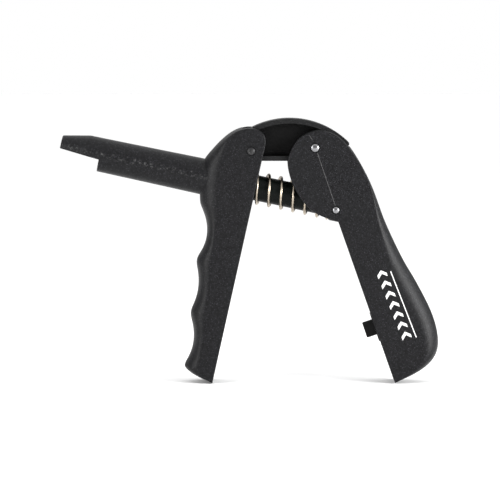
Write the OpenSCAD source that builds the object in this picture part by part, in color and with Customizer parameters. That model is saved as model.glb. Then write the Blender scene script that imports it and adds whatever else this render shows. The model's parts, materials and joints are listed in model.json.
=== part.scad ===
// Capsule dispensing gun: a hand-held squeeze dispenser for small filled capsules.
// Everything is drawn with the barrel level, X to the rear, Z up, Y across and the
// foot of the front pivot on the barrel axis as origin. stand() then tips the tool
// onto the ends of its two grips.

/* [Plunger and barrel] */
// Diameter of the plunger rod
rod_d = 10.7; // [8:0.1:13]
// Play between the rod and the barrel bore, on the radius
rod_play = 0.06; // [0.02:0.01:0.1]
// Wall of the barrel at the nose step
barrel_wall = 1.7; // [1.2:0.1:3]
// Extra barrel radius where it meets the grip
barrel_flare = 0.5; // [0:0.1:1.5]
// Nose step, ahead of the front pivot
barrel_reach = 61.5; // [50:0.5:80]
// Wall that closes the bore at the nose step
barrel_end_wall = 3; // [2:0.5:5]
// Diameter of the steel piston
piston_d = 3; // [2:0.1:4]
// Play round the piston, on the radius
piston_play = 0.08; // [0.03:0.01:0.3]

/* [Capsule nose] */
// Length of the open nose
nose_len = 16.9; // [12:0.1:24]
// Length of the nose that keeps the full diameter
nose_straight = 5.5; // [3:0.5:10]
// Outer radius of the nose at its tip
nose_tip_r = 4.8; // [4.4:0.1:6]
// Diameter of the capsule's body
capsule_d = 6.6; // [5:0.1:7.6]
// Diameter of the capsule's collar
collar_d = 9.2; // [8:0.1:10]
// Length of the slot for the collar
collar_slot = 2.2; // [1.5:0.1:4]
// Lower edge of the nose below the axis at the step
nose_drop = 1.8; // [1.5:0.1:4]
// Lower edge of the nose below the axis at the tip
nose_tip_drop = 0.6; // [0.4:0.1:3]

/* [Linkage] */
// Height of the front pivot above the barrel axis
front_pin_h = 14.9; // [14:0.1:20]
// Rear pivot of the bridge link, behind the front pivot
link_run = 25.8; // [24:0.1:32]
// Rise of the bridge link to its rear pivot
link_rise = 6.9; // [4:0.1:9]
// Distance between the two pivots in the rear grip
crank_len = 27.4; // [25:0.1:34]
// Lean of the rear grip at rest, from square to the barrel
rear_lean = 30.8; // [28:0.1:33]
// Height of the plunger pivot below the barrel axis
plunger_pin_drop = 1.8; // [0:0.1:2.4]
// Diameter of the front pivot pin
front_pin_d = 3; // [2:0.1:4]
// Diameter of the bridge pivot pin
bridge_pin_d = 3.4; // [2.5:0.1:4.5]
// Diameter of the plunger pivot pin
plunger_pin_d = 2.8; // [2:0.1:3.4]
// Running play of a pivot, on the radius
pivot_play = 0.05; // [0.02:0.01:0.1]
// Play of the bridge link round its rear pin, where the four-bar is left open
open_play = 1.3; // [1.2:0.05:1.6]

/* [Grips] */
// Side wall of both grips
grip_wall = 2; // [1.4:0.1:3]
// Gap between a moving piece and the side wall beside it
side_gap = 0.25; // [0.2:0.05:0.6]
// Back edge of the front grip behind the front pivot
front_back = 5.2; // [4.8:0.1:8]
// Front grip from the barrel axis to its foot
front_grip_len = 83.7; // [76:0.1:101]
// Distance from one finger ridge to the next
groove_pitch = 22.4; // [18:0.1:26]
// Depth of each finger groove from the top one down
groove_depths = [3.9, 2.7, 3.2]; // [1:0.1:5]
// Reach of the ridge line ahead of the pivot, at the top ridge
ridge_top = 15.8; // [13:0.1:18]
// Reach of the ridge line ahead of the pivot, at the foot
ridge_foot = 9.2; // [7:0.1:12]
// Rear grip from the plunger pivot to its foot
rear_grip_len = 76.9; // [70:0.1:90]
// Depth of the rear grip at its palm swell
palm_depth = 24.3; // [20:0.1:30]
// Thickness of the front, back and foot walls
shell = 2.2; // [1.6:0.1:3]
// Thickness of the stiffening ribs
rib = 1.6; // [1:0.1:2.5]
// Depth from the open side of a grip to its ribs
rib_set_back = 2.5; // [1:0.1:5]

/* [Bridge link] */
// Radius of the arched top
arch_r = 35.4; // [30:0.1:45]
// Height of the arch's crown above the pivots' line
arch_rise = 12.7; // [11:0.1:14]
// Thickness of the flanges round the link
flange = 2; // [1.5:0.1:3]
// Thickness of the web inside the flanges
link_web = 2.6; // [1.6:0.1:4]

/* [Return spring] */
// Wire diameter
wire_d = 1.1; // [0.8:0.05:1.4]
// Gap between the rod and the coils
spring_gap = 0.6; // [0.4:0.05:1]
// Turns from end to end
spring_turns = 7.55; // [6:0.05:10]
// Front seat of the spring behind the front pivot
spring_front = 1.4; // [0:0.1:3]
// Solid of the plunger head ahead of its pin
head_nose = 0.7; // [0.5:0.1:2]

/* [Bumper] */
// Diameter of the rubber bumper
bumper_d = 6.8; // [5:0.1:8]
// How far the bumper stands out of the rear grip
bumper_out = 4.3; // [3:0.1:6]
// Bumper below the plunger pivot, along the grip
bumper_drop = 52.3; // [45:0.1:58]
// Depth of the bumper's socket
bumper_in = 5; // [3:0.5:8]

/* [Hidden] */
$fn = 96;
eps = 0.01;

// Widths, worked out from the rod outwards
bore_r = rod_d / 2 + rod_play;
barrel_r = bore_r + barrel_wall;
spring_ro = rod_d / 2 + spring_gap + wire_d;
inner_w = 2 * (spring_ro + side_gap);
grip_w = inner_w + 2 * grip_wall;
link_w = inner_w - 2 * (side_gap + 0.15);
head_r = spring_ro - 0.1;

// Pivots, in the X-Z plane
pin_a = [0, front_pin_h];
pin_b = pin_a + [link_run, link_rise];
pin_c = [
    pin_b.x + sqrt(crank_len ^ 2 - (pin_b.y + plunger_pin_drop) ^ 2),
    -plunger_pin_drop
];
crank_lean = atan2(pin_c.x - pin_b.x, pin_b.y - pin_c.y);
link_span = norm(pin_b - pin_a);
link_angle = atan2(link_rise, link_run);

// Stations along the barrel
nose_back = -barrel_reach;
nose_tip = -barrel_reach - nose_len;
bore_front = nose_back + barrel_end_wall;
spring_rear = pin_c.x - plunger_pin_d / 2 - head_nose;
// Travel of the plunger when the grips are squeezed shut
squeeze_angle = 40;
shut_lean = crank_lean - squeeze_angle;
stroke = pin_c.x - pin_a.x - crank_len * sin(shut_lean)
    - sqrt(link_span ^ 2 - (crank_len * cos(shut_lean) + pin_c.y - pin_a.y) ^ 2);
rod_front = bore_front + stroke + 0.6;
piston_in = 6;
// The capsule's seat ends this far ahead of the nose step
seat_wall = 0.6;
// The barrel runs into the front grip as far as here
barrel_root = -12;

// A smooth run through the points p, with n steps between neighbours
function blend(a, b, c, d, t) =
    (2 * b + (c - a) * t + (2 * a - 5 * b + 4 * c - d) * t ^ 2 + (3 * b - a - 3 * c + d) * t ^ 3) / 2;
steps = 6;
function smooth(p, n) = [
    for (i = [0 : len(p) - 2])
        for (k = [0 : n - 1])
            blend(p[max(i - 1, 0)], p[i], p[i + 1], p[min(i + 2, len(p) - 1)], k / n),
    p[len(p) - 1]
];
// Rows are [x, z, inward x, inward z]: an edge point and the way to the flat of the side

// --- Front grip outline ---
// Height of the top ridge, with the lowest one this far above the foot
ridge_foot_h = 4.4;
grooves_h = groove_pitch * len(groove_depths);
ridge_h = -(front_grip_len - ridge_foot_h - grooves_h);
// The ridge line leans back towards the foot, and the flat of the sides begins behind it
flat_top = 8.6;
function ridge_lean(z) = (ridge_top - ridge_foot) * (ridge_h - z) / grooves_h;
function ridge_x(z) = -ridge_top + ridge_lean(z);
function flat_x(z) = -flat_top + ridge_lean(z);
function arc_bulge(t, depth) =
    let (r = (groove_pitch ^ 2 / 4 + depth ^ 2) / (2 * depth))
    sqrt(r ^ 2 - (groove_pitch * (t - 0.5)) ^ 2) - (r - depth);
// Finger grooves from the top ridge down, each one a circular arc
groove_rows = [
    for (g = [0 : len(groove_depths) - 1])
        for (k = [0 : 7])
            let (
                t = k / 8,
                z = ridge_h - groove_pitch * (g + t),
                x = ridge_x(z) + arc_bulge(t, groove_depths[g])
            )
            [x, z, flat_x(z) - x, 0]
];
foot_z = ridge_h - grooves_h;
// The back edge is straight from here down, and leans forward by back_lean at the foot
straight_h = front_pin_h - 3;
back_lean = 0.9;
foot_rows = smooth([
    [-ridge_foot, foot_z, 7, 0.6],
    [-5.6, foot_z - 2.2, 4, 1.2],
    [-0.8, foot_z - 3.6, 1, 1],
    [front_back - back_lean, -front_grip_len, 0, 0.4]
], 4);
// Back of the head, its crown at the third row and its front down to the barrel
crown = 3;
head_rows = smooth([
    [front_back, straight_h, 0, 0],
    [front_back, front_pin_h + 4.6, -0.3, 0],
    [front_back - 1.9, front_pin_h + 8.5, -0.4, -0.4],
    [0.2, front_pin_h + 9.8, 0, -0.6],
    [-4.3, front_pin_h + 9.3, 0.3, -0.8],
    [-8.9, front_pin_h + 6.6, 0.7, -0.8],
    [-12.9, front_pin_h + 2.1, 2, -0.6],
    [-16.4, front_pin_h - 3.6, 5.4, -0.3],
    [-18.4, barrel_r + 0.3, 7.6, 0]
], steps);
front_front = concat(
    [for (i = [crown * steps : len(head_rows) - 1]) head_rows[i]],
    [[-18.6, 0, 8.4, 0], [-16.4, ridge_h + 3, 7.8, 0]],
    groove_rows, foot_rows
);
function back_x(z) = front_back - back_lean * (straight_h - z) / (straight_h + front_grip_len);
// Back rows are level with the front ones from the barrel's top down, and spread evenly above it
head_front = len(head_rows) - crown * steps;
front_last = len(front_front) - 1;
function back_h(i) =
    i < head_front ? straight_h * (head_front - i) / (head_front - crown * steps)
    : front_front[i][1];
front_back_rows = [
    for (i = [0 : front_last])
        i <= crown * steps ? head_rows[crown * steps - i]
        : i < front_last ? [back_x(back_h(i)), back_h(i), 0, 0]
        : front_front[i]
];

// --- Rear grip outline, in its own frame: Z from the plunger pivot up to the bridge pivot ---
rear_k = rear_grip_len / 76.9;
palm_k = palm_depth / 24.3;
lobe_rows = [
    [-0.6, -5, 0, 0],
    [-5.2, -1.6, 0.2, 0.3],
    [-9.2, 2.6, 0.4, 0.3],
    [-12.3, crank_len - 18.4, 0.5, 0.2],
    [-13.7, crank_len - 9.4, 0.6, 0],
    [-12.4, crank_len - 1.6, 0.6, -0.2],
    [-8.6, crank_len + 3.3, 0.4, -0.4],
    [-3.4, crank_len + 6.6, 0.2, -0.6]
];
palm_rows = [
    [2.6, crank_len + 7.2, 0, -0.7],
    [7.8, crank_len + 5, -0.5, -0.7],
    [11.4, crank_len + 1.2, -0.7, -0.5],
    [14.3, crank_len - 5.2, -0.7, -0.2],
    [16.4, 13, -0.5, 0],
    [17.6 * palm_k, 3, -1, 0],
    [18 * palm_k, -11.5 * rear_k, -3.2, 0],
    [19.8 * palm_k, -27.5 * rear_k, -6, 0],
    [22.3 * palm_k, -40 * rear_k, -7.6, 0],
    [24.1 * palm_k, -52 * rear_k, -7.6, 0],
    [24.1 * palm_k, -61 * rear_k, -6.8, 0.5],
    [22.4 * palm_k, -68 * rear_k, -5.6, 1.2],
    [19.1 * palm_k, -72.3 * rear_k, -4, 2],
    [14 * palm_k, -75 * rear_k, -2, 2.2],
    [7.5 * palm_k, -76.4 * rear_k, -0.6, 1.6],
    [0.1, -rear_grip_len, 0, 0.4]
];
rear_rows = concat(lobe_rows, palm_rows);
// The lobe takes fewer steps than the palm, so that the two edges stay level down to the inner corner
lobe_steps = 4;
lobe_end = len(lobe_rows) * lobe_steps;
lobe_curve = smooth(rear_rows, lobe_steps);
palm_curve = smooth(rear_rows, steps);
rear_back = [for (i = [len(lobe_rows) * steps : len(palm_curve) - 1]) palm_curve[i]];
rear_last = len(rear_back) - 1;
rear_tip = rear_back[rear_last];
rear_front = [
    for (i = [0 : rear_last])
        let (t = (i - lobe_end) / (rear_last - lobe_end))
        i <= lobe_end ? lobe_curve[lobe_end - i]
        : i < rear_last ? lobe_rows[0] * (1 - t) + [rear_tip[0], rear_tip[1], 0, 0] * t
        : rear_tip
];

// --- Standing on both feet ---
function turned(p, a) = [p.x * cos(a) + p.y * sin(a), p.y * cos(a) - p.x * sin(a)];
function rear_to_barrel(p) = pin_c + turned(p, -rear_lean);
front_foot = [front_back - back_lean, -front_grip_len];
rear_foot = rear_to_barrel([0.1, -rear_grip_len]);
tilt = atan2(rear_foot.y - front_foot.y, rear_foot.x - front_foot.x);
reach = [
    for (r = front_front) turned([r[0], r[1]], tilt),
    for (r = rear_back) turned(rear_to_barrel([r[0], r[1]]), tilt),
    turned([nose_tip, -nose_tip_drop], tilt)
];
stand_x = -(min([for (p = reach) p.x]) + max([for (p = reach) p.x])) / 2;
stand_z = -min([for (p = reach) p.y]);

module stand() { translate([stand_x, 0, stand_z]) rotate([0, tilt, 0]) children(); }
module rear_frame() { translate([pin_c.x, 0, pin_c.y]) rotate([0, -rear_lean, 0]) children(); }
module link_frame() { translate([pin_a.x, 0, pin_a.y]) rotate([0, -link_angle, 0]) children(); }

// A flat outline in X-Z, given a thickness w across the tool
module slab(w) { rotate([90, 0, 0]) linear_extrude(height = w, center = true) children(); }
// A pin or bore across the tool at p
module across(p, d, w) {
    translate([p.x, 0, p.y]) rotate([90, 0, 0]) cylinder(d = d, h = w, center = true);
}
// A straight length of the barrel's line from x0 to x1, radius r0 to r1
module along(x0, x1, r0, r1) {
    translate([x0, 0, 0]) rotate([0, 90, 0]) cylinder(r1 = r0, r2 = r1, h = x1 - x0);
}
// A plate across the inside of a grip, between its side walls
module plate(x0, x1, z0, z1) {
    translate([x0, -inner_w / 2 - eps, z0]) cube([x1 - x0, inner_w + 2 * eps, z1 - z0]);
}

// A moulded grip, lofted from its crown to its foot. front and back are rows of its two edges, level
// with each other and meeting at both ends. Each edge is drawn in towards the flat of the sides along
// a quarter ellipse, which starts at a share `start` of the half width.
round_steps = 4;
module lofted(front, back, start) {
    // Columns from one side to the other: a share of the half width and of the way inward
    function column(side, a) = [side * (start + (1 - start) * sin(a)), 1 - cos(a)];
    columns = [
        for (k = [round_steps : -1 : 0]) column(-1, 90 * k / round_steps),
        for (k = [0 : round_steps]) column(1, 90 * k / round_steps)
    ];
    m = len(columns);
    last = len(front) - 1;
    function at(row, c) = [row[0] + row[2] * c[1], grip_w / 2 * c[0], row[1] + row[3] * c[1]];
    // The two edges share their points where they meet
    function corner(i, k) = i * 2 * m + ((i == 0 || i == last) && k >= m ? 2 * m - 1 - k : k % (2 * m));
    function wrapped(i, k) = corner(i, k % (2 * m));
    points = [
        for (i = [0 : last]) each [
            for (k = [0 : m - 1]) at(front[i], columns[k]),
            for (k = [m - 1 : -1 : 0]) at(back[i], columns[k])
        ]
    ];
    polyhedron(points, [
        for (i = [0 : last - 1])
            for (k = [0 : 2 * m - 1])
                let (
                    a = wrapped(i, k), b = wrapped(i, k + 1),
                    c = wrapped(i + 1, k + 1), d = wrapped(i + 1, k)
                )
                each a == b ? [[a, d, c]] : c == d ? [[a, c, b]] : [[a, c, b], [a, d, c]]
    ], 4);
}

// --- Pieces ---
// The head is hollow round the bridge link's front end, and open above it from hood_front back
hood_r = 9.2;
hood_gap = 0.3;
hood_front = -5.6;
open_back = front_back + 5;
// The front wall is thick enough to hold the rounding of the sides
front_wall = shell + 3.2;

module front_hollow() {
    // The grip below the barrel, open to the rear
    slab(inner_w) polygon(concat(
        [for (r = groove_rows) [r[0] + front_wall, min(r[1], -spring_ro - shell)]],
        [
            [-ridge_foot + front_wall + 1, foot_z - 0.2 + shell],
            [open_back, foot_z - 2.6 + shell],
            [open_back, -spring_ro - shell]
        ]
    ));
    // The spring's mouth
    along(spring_front, open_back, spring_ro + side_gap, spring_ro + side_gap);
    // The head above the barrel, for the front end of the bridge link
    slab(inner_w) {
        translate(pin_a) circle(r = hood_r);
        translate([hood_front, front_pin_h]) square([open_back - hood_front, 20]);
        translate([1 - hood_r, barrel_r + shell])
            square([open_back + hood_r - 1, front_pin_h - barrel_r - shell]);
    }
}

module front_ribs() {
    for (g = [1 : len(groove_depths) - 1]) {
        z = ridge_h - groove_pitch * g;
        plate(ridge_x(z) + front_wall - 0.5, front_back - rib_set_back, z - rib / 2, z + rib / 2);
    }
}

// Plate across the open side, where the bumper lands when the grips are shut
pad_h = 14;
pad_z = -1.02 * bumper_drop;
pad_x = back_x(pad_z) - 0.2;
module front_pad() {
    plate(pad_x - shell, pad_x, pad_z - pad_h / 2, pad_z + pad_h / 2);
}

module nose_cut() {
    lean = atan2(nose_drop - nose_tip_drop, nose_len);
    translate([nose_back, 0, -nose_drop]) rotate([0, lean, 0])
        translate([-nose_len - 5, -10, -20]) cube([nose_len + 5, 20, 20]);
}

module front_handle() {
    color([0.17, 0.17, 0.18]) stand() difference() {
        union() {
            difference() {
                lofted(front_front, front_back_rows, 0.14);
                front_hollow();
            }
            front_ribs();
            front_pad();
            along(nose_back, barrel_root, barrel_r, barrel_r + barrel_flare);
            along(nose_back - nose_straight, nose_back + eps, barrel_r, barrel_r);
            along(nose_tip, nose_back - nose_straight + eps, nose_tip_r, barrel_r);
        }
        along(bore_front, open_back, bore_r, bore_r);
        along(nose_back - 5, bore_front + eps, piston_d / 2 + piston_play, piston_d / 2 + piston_play);
        along(nose_tip - 1, nose_back - seat_wall, capsule_d / 2, capsule_d / 2);
        along(nose_back - seat_wall - collar_slot, nose_back - seat_wall, collar_d / 2, collar_d / 2);
        nose_cut();
        across(pin_a, front_pin_d, grip_w + 1);
    }
}

// The link's rear end rests just above the rear grip's web when the tool is open
web_top = crank_len - 4.5;
module rear_hollow() {
    palm_inside = smooth([for (i = [4 : len(palm_rows) - 1]) palm_rows[i]], 3);
    foot_h = -rear_grip_len + shell;
    slab(inner_w) polygon(concat(
        [[-30, crank_len + 30], [30, crank_len + 30], [30, web_top], [14.3 - shell, web_top]],
        [for (r = palm_inside) if (r[1] > -70 * rear_k) [r[0] - shell - 0.4, r[1]]],
        [[14, foot_h + 2.6], [3, foot_h + 1], [-30, foot_h + 1]]
    ));
}

rear_rib_drops = [14, 33, 52];
module rear_ribs() {
    for (drop = rear_rib_drops) {
        z = -drop * rear_k;
        intersection() {
            plate(rib_set_back - 0.6, palm_depth + 10, z - rib / 2, z + rib / 2);
            slab(inner_w + 1) polygon([for (r = palm_curve) [r[0] + r[2], r[1] + r[3]]]);
        }
    }
}

// The boss behind the bumper stands a little proud of the grip's front edge
boss_x = -0.5;
boss_h = bumper_d + 2 * shell;
socket_d = bumper_d - 1.6;
module bumper_boss() {
    plate(boss_x, boss_x + bumper_in + shell, -bumper_drop - boss_h / 2, -bumper_drop + boss_h / 2);
}

module rear_handle() {
    color([0.17, 0.17, 0.18]) stand() rear_frame() difference() {
        union() {
            difference() {
                lofted(rear_front, rear_back, 0.25);
                rear_hollow();
            }
            rear_ribs();
            bumper_boss();
        }
        translate([boss_x - eps, 0, -bumper_drop]) rotate([0, 90, 0])
            cylinder(d = socket_d, h = bumper_in + eps);
        across([0, 0], plunger_pin_d, grip_w + 1);
        across(turned([0, crank_len], rear_lean - crank_lean), bridge_pin_d, grip_w + 1);
    }
}

// The arch's crown stands a little behind the middle of the link
arch_x = link_span * 0.562;
link_end = link_span + 14.3;
module link_outline(inset) {
    low = 4.1 - inset;
    intersection() {
        translate([arch_x, arch_rise - arch_r]) circle(r = arch_r - inset);
        union() {
            circle(r = hood_r - hood_gap - inset);
            translate([-1.2 + inset, -low]) square([link_span + 12.9 - 2 * inset, 30]);
        }
        polygon([
            [-20, -low], [0, -low], [link_span, -low - 1.4], [link_span + 4, -low - 1],
            [link_end - inset, 0.4 + inset], [link_end - inset, 30], [-20, 30]
        ]);
    }
}

module bridge_link() {
    color([0.15, 0.15, 0.16]) stand() link_frame() difference() {
        union() {
            difference() {
                slab(link_w) link_outline(0);
                for (side = [-1, 1])
                    translate([0, side * (link_web + link_w) / 2, 0]) slab(link_w) link_outline(flange);
            }
            across([0, 0], front_pin_d + 2 * flange, link_w);
            across([link_span, 0], bridge_pin_d + 2 * (open_play + flange), link_w);
        }
        across([0, 0], front_pin_d + 2 * pivot_play, link_w + 1);
        across([link_span, 0], bridge_pin_d + 2 * open_play, link_w + 1);
    }
}

module plunger_rod() {
    back = pin_c.x + plunger_pin_d / 2 + 2;
    color([0.12, 0.13, 0.12]) stand() difference() {
        union() {
            along(rod_front + 0.6, spring_rear + eps, rod_d / 2, rod_d / 2);
            along(rod_front, rod_front + 0.6, rod_d / 2 - 0.6, rod_d / 2);
            along(spring_rear, back, head_r, head_r);
            along(back, back + 1.5, head_r, head_r - 1.5);
        }
        across(pin_c, plunger_pin_d + 2 * pivot_play, grip_w);
        along(rod_front - 1, rod_front + piston_in, piston_d / 2, piston_d / 2);
    }
}

module piston() {
    tip = bore_front - 0.9;
    edge = 0.4;
    color([0.75, 0.75, 0.77]) stand() union() {
        along(tip + edge, rod_front + piston_in, piston_d / 2, piston_d / 2);
        along(tip, tip + edge, piston_d / 2 - edge, piston_d / 2);
    }
}

// The wire is wound right-handed from its front end, which stands at this angle from the top
coil_start = 58;
// Axial place of the wire's middle at turn t: closed ends and an even pitch between them
closed = 0.75;
function coil_rise(t) =
    t < closed ? t ^ 2 / (2 * closed)
    : t > spring_turns - closed ? (spring_turns - closed) - (spring_turns - t) ^ 2 / (2 * closed)
    : t - closed / 2;
coil_step = 20;
coil_sides = 8;
coil_r = spring_ro - wire_d / 2;
seat_play = 0.02;
coil_len = spring_rear - spring_front - wire_d - 2 * seat_play;
coil_front = spring_front + seat_play + wire_d / 2;
coil_points = [
    for (a = [0 : coil_step : 360 * spring_turns])
        let (x = coil_front + coil_len * coil_rise(a / 360) / (spring_turns - closed))
        for (k = [0 : coil_sides - 1])
            let (w = 360 * (k + 0.5) / coil_sides, r = coil_r + wire_d / 2 * cos(w))
            [x + wire_d / 2 * sin(w), -r * sin(a + coil_start), r * cos(a + coil_start)]
];
coil_rings = len(coil_points) / coil_sides;
module return_spring() {
    color([0.72, 0.70, 0.66]) stand() polyhedron(coil_points, concat(
        [[for (k = [coil_sides - 1 : -1 : 0]) k]],
        [
            for (i = [0 : coil_rings - 2])
                for (k = [0 : coil_sides - 1])
                    let (n = (k + 1) % coil_sides, here = i * coil_sides, next = here + coil_sides)
                    [here + n, next + n, next + k, here + k]
        ],
        [[for (k = [0 : coil_sides - 1]) (coil_rings - 1) * coil_sides + k]]
    ), 4);
}

module pin(p, d, w) {
    bevel = 0.3;
    across(p, d, w - 2 * bevel);
    for (side = [0, 180])
        translate([p.x, 0, p.y]) rotate([90, 0, side])
            translate([0, 0, w / 2 - bevel]) cylinder(d1 = d, d2 = d - 2 * bevel, h = bevel);
}
module front_pivot_pin() { color([0.2, 0.2, 0.21]) stand() pin(pin_a, front_pin_d, grip_w); }
module bridge_pivot_pin() { color([0.8, 0.8, 0.8]) stand() pin(pin_b, bridge_pin_d, grip_w); }
module plunger_pivot_pin() { color([0.8, 0.8, 0.8]) stand() pin(pin_c, plunger_pin_d, grip_w); }

module bumper() {
    edge = 0.8;
    color([0.07, 0.07, 0.07])
    stand() rear_frame() translate([boss_x, 0, -bumper_drop]) rotate([0, -90, 0]) {
        translate([0, 0, -bumper_in]) cylinder(d = socket_d, h = bumper_in + eps);
        cylinder(d = bumper_d, h = bumper_out - edge);
        translate([0, 0, bumper_out - edge]) cylinder(d1 = bumper_d, d2 = bumper_d - 2 * edge, h = edge);
    }
}

front_handle();
rear_handle();
bridge_link();
plunger_rod();
piston();
return_spring();
front_pivot_pin();
bridge_pivot_pin();
plunger_pivot_pin();
bumper();
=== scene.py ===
# %% [markdown]
# # A capsule dispensing gun
# Squeezing the two grips pushes a plunger through the barrel and empties a small capsule that sits in
# the nose. Every piece below is worked out in millimetres in the frame of the part it belongs to, and
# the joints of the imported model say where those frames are, so nothing has to be fitted by eye.

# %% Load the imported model
import json
import math
import bmesh
import bpy
import numpy as np
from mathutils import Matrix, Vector


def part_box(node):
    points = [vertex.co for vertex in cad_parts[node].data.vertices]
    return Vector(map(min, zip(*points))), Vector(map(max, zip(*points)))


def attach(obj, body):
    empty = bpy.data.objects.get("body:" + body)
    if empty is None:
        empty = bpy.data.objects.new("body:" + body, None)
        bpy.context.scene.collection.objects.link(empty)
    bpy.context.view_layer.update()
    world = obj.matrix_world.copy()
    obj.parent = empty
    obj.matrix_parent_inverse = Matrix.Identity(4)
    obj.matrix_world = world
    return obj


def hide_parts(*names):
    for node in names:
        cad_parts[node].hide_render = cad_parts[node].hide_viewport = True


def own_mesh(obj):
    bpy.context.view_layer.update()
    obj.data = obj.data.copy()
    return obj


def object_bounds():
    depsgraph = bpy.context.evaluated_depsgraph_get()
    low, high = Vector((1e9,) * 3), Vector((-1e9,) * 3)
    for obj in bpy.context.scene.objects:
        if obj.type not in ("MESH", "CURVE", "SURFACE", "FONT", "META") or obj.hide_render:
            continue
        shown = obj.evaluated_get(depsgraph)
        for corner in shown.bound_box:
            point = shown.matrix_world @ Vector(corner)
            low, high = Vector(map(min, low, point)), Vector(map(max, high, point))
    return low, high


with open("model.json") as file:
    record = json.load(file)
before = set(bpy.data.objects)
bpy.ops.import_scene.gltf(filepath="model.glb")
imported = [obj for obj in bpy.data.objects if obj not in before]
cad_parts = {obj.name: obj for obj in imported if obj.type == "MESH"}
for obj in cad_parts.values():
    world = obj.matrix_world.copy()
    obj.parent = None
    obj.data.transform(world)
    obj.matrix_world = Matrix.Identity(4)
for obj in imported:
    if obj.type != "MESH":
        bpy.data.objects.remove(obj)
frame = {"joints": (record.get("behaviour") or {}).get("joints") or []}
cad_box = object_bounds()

# %% [markdown]
# ## Frames
# The barrel, the bridge link and the rear grip lean at different angles. A place function turns local
# millimetres (x to the rear, y across, z up) into metres of the model, from a pivot and a lean.

# %% Frames of the barrel, the link and the rear grip
MM = 0.001
joints = {j["name"]: j for j in frame["joints"]}
front_pivot = np.array(joints["link_swing"]["pos_m"]) / MM
plunger_pivot = np.array(joints["squeeze"]["pos_m"]) / MM
low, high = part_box("bridge_pivot_pin")
bridge_pivot = (np.array(low) + np.array(high)) / 2 / MM
rearward = -np.array(joints["plunger_slide"]["axis"])
across = np.array([0.0, 1.0, 0.0])
upward = np.cross(rearward, across)


def placed(origin, lean):
    """Local x points along the barrel turned up by lean degrees, y across the tool, z square to both."""
    c, s = math.cos(math.radians(lean)), math.sin(math.radians(lean))
    axes = np.array([c * rearward + s * upward, across, c * upward - s * rearward])
    return lambda points: (origin + np.asarray(points, float) @ axes) * MM


PIVOT_HEIGHT = 14.9
REAR_LEAN = 30.8
link_run = bridge_pivot - front_pivot
LINK_SPAN = float(np.linalg.norm(link_run))
LINK_LEAN = math.degrees(math.atan2(link_run @ upward, link_run @ rearward))
on_barrel = placed(front_pivot - PIVOT_HEIGHT * upward, 0)
on_link = placed(front_pivot, LINK_LEAN)
on_rear = placed(plunger_pivot, REAR_LEAN)
to_plunger = (plunger_pivot - front_pivot) @ rearward
print(f"link {LINK_SPAN:.2f} mm long, plunger pivot {to_plunger:.2f} mm behind the front pivot")

# %% [markdown]
# ## Shared sizes
# Radii and half widths that more than one piece needs are written once, in millimetres. The rod is
# smaller than its bore by a running clearance, and the spring lies between the side walls of the grips.

# %% Widths shared by the pieces
ROD_R = 5.35
BORE_R = 5.41
SPRING_R = 7.05
INNER_HALF = 7.3
GRIP_HALF = 9.3
LINK_HALF = 6.9
BARREL_R = 7.11
WIRE = 1.1
FRONT_PIN_R = 1.6
BRIDGE_PIN_R = 1.7
PLUNGER_PIN_R = 1.4

# %% [markdown]
# ## Making meshes
# A moulded body is easiest to describe as a ring of points carried along a line: a grid of two
# parameters. numpy works out the whole grid at once, and the faces join neighbours in it. A hollow is
# then carved with simple closed shapes, as a mould core would leave it.


# %% Grids to meshes
def add_object(name, mesh):
    piece = bpy.data.objects.new(name, mesh)
    bpy.context.scene.collection.objects.link(piece)
    return piece


def ring_solid(name, grid, caps=True):
    """A closed solid from rings: grid[i, k] is point k of ring i, and the last point meets the first."""
    rings, count = grid.shape[:2]
    i, k = np.meshgrid(np.arange(rings - 1), np.arange(count), indexing="ij")
    n = (k + 1) % count
    quads = np.stack([i * count + k, (i + 1) * count + k, (i + 1) * count + n, i * count + n], -1)
    faces = quads.reshape(-1, 4).tolist()
    if caps:
        faces += [list(range(count)), list(range((rings - 1) * count, rings * count))]
    mesh = bpy.data.meshes.new(name)
    mesh.from_pydata(grid.reshape(-1, 3).tolist(), [], faces)
    shape = bmesh.new()
    shape.from_mesh(mesh)
    bmesh.ops.remove_doubles(shape, verts=shape.verts, dist=0.002)
    bmesh.ops.dissolve_degenerate(shape, edges=shape.edges, dist=0.001)
    bmesh.ops.recalc_face_normals(shape, faces=shape.faces)
    bmesh.ops.triangulate(shape, faces=[f for f in shape.faces if len(f.verts) > 4])
    shape.to_mesh(mesh)
    shape.free()
    return add_object(name, mesh)


def slab(name, outline, half):
    """An outline in x and z, given the same thickness on both sides of the middle plane."""
    outline = np.asarray(outline, float)
    rings = [np.insert(outline, 1, y, axis=1) for y in (-half, half)]
    return ring_solid(name, np.array(rings))


def turned(name, profile, start=(0, 0, 0), direction=(1, 0, 0), sides=64):
    """A lathe shape: profile rows are distance along the axis and radius."""
    axis = np.array(direction, float)
    side = np.array([0, 0, 1.0]) if abs(axis[2]) < 0.5 else np.array([1.0, 0, 0])
    other = np.cross(axis, side)
    a = np.linspace(0, 2 * np.pi, sides, endpoint=False)
    circle = np.cos(a)[:, None] * side + np.sin(a)[:, None] * other
    profile = np.asarray(profile, float)
    grid = np.array(start) + profile[:, :1, None] * axis + profile[:, 1:, None] * circle
    return ring_solid(name, grid)


def round_cut(x0, x1, r):
    """A cutter for a bore along x."""
    return turned("cut", [[x0, 0], [x0, r], [x1, r], [x1, 0]])


def carve(body, cutters, operation="DIFFERENCE"):
    """Takes the cutters out of the body, or joins them to it, for good."""
    for cutter in cutters:
        cut = body.modifiers.new("carve", "BOOLEAN")
        cut.operation = operation
        cut.solver = "MANIFOLD"
        cut.object = cutter
    depsgraph = bpy.context.evaluated_depsgraph_get()
    mesh = bpy.data.meshes.new_from_object(body.evaluated_get(depsgraph))
    body.modifiers.clear()
    body.data = mesh
    for cutter in cutters:
        bpy.data.objects.remove(cutter)
    return body


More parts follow.
